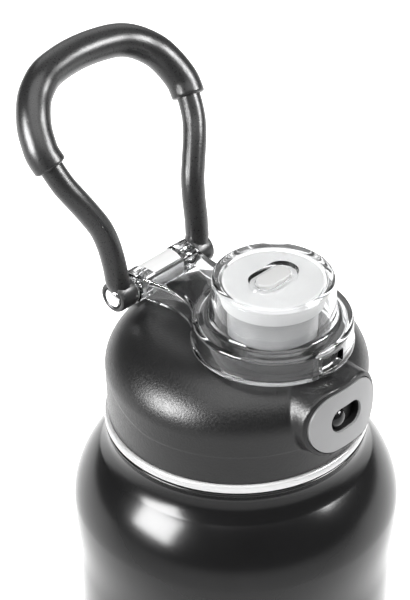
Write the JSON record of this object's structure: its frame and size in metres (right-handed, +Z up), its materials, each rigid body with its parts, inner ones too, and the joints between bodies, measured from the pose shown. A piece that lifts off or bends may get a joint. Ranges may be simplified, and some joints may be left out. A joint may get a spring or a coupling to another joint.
{
  "type": "insulated sports bottle",
  "caption": "Double-wall steel sports bottle with a screw lid, see-through flip cover over a spout, latch button with slide lock, and a swinging carrying bow.",
  "frame": {"origin": "centre of the base, on the surface the bottle stands on", "axes": "+Z up along the bottle; -Y towards the release button; X along the hinge line"},
  "size_m": [0.0924, 0.1115, 0.3011],
  "materials": {
    "powder_coat": "satin powder coat",
    "polished_steel": "polished",
    "steel": "brushed",
    "black_plastic": "fine grained",
    "grey_plastic": "satin",
    "white_plastic": "satin",
    "silicone": "matt",
    "rubber": "matt",
    "smoked_clear": "gloss, see-through"
  },
  "bodies": {
    "flask": {"outer_shell": "powder_coat", "inner_flask": "steel", "neck_ring": "polished_steel", "base_plate": "steel", "vacuum_seal": "steel"},
    "seal": {"lid_seal": "silicone"},
    "lid": {"cap_shell": "black_plastic", "cap_liner": "black_plastic", "spout_gasket": "silicone", "spout": "white_plastic", "hinge_bracket": "white_plastic", "hinge_pin": "polished_steel", "pin_cap": "polished_steel", "torsion_spring": "steel", "button_spring_left": "steel", "button_spring_right": "steel"},
    "cover": {"flip_cover": "smoked_clear", "stopper": "silicone"},
    "button": {"release_button": "grey_plastic", "latch_hook": "black_plastic"},
    "lock": {"lock_knob": "black_plastic"},
    "bow": {"left_eye": "black_plastic", "right_eye": "black_plastic", "bow_core": "steel", "left_leg_sleeve": "rubber", "right_leg_sleeve": "rubber", "grip_sleeve": "rubber"}
  },
  "joints": [
    {"name": "lid_lift", "type": "slide", "parent": "flask", "child": "seal", "axis": [0, 0, 1], "range_m": [0, 0.0066]},
    {"name": "lid_turn", "type": "hinge", "parent": "seal", "child": "lid", "pos_m": [0, 0, 0.208], "axis": [0, 0, 1], "range_deg": [0, 576]},
    {"name": "cover_flip", "type": "hinge", "parent": "lid", "child": "cover", "pos_m": [0, 0.0301, 0.2386], "axis": [-1, 0, 0], "range_deg": [0, 90]},
    {"name": "bow_swing", "type": "hinge", "parent": "lid", "child": "bow", "pos_m": [0, 0.0301, 0.2386], "axis": [-1, 0, 0], "range_deg": [-90, 95]},
    {"name": "button_press", "type": "slide", "parent": "lid", "child": "button", "axis": [0, 1, 0], "range_m": [0, 0.0015], "stiffness_N_per_m": 1200, "springref_m": -0.0012, "deforming": ["button_spring_left", "button_spring_right"]},
    {"name": "lock_slide", "type": "slide", "parent": "button", "child": "lock", "axis": [1, 0, 0], "range_m": [0, 0.0048]}
  ],
  "couplings": [
    {"joint": "lid_lift", "follows": "lid_turn", "m_per_rad": 0.00063662}
  ]
}
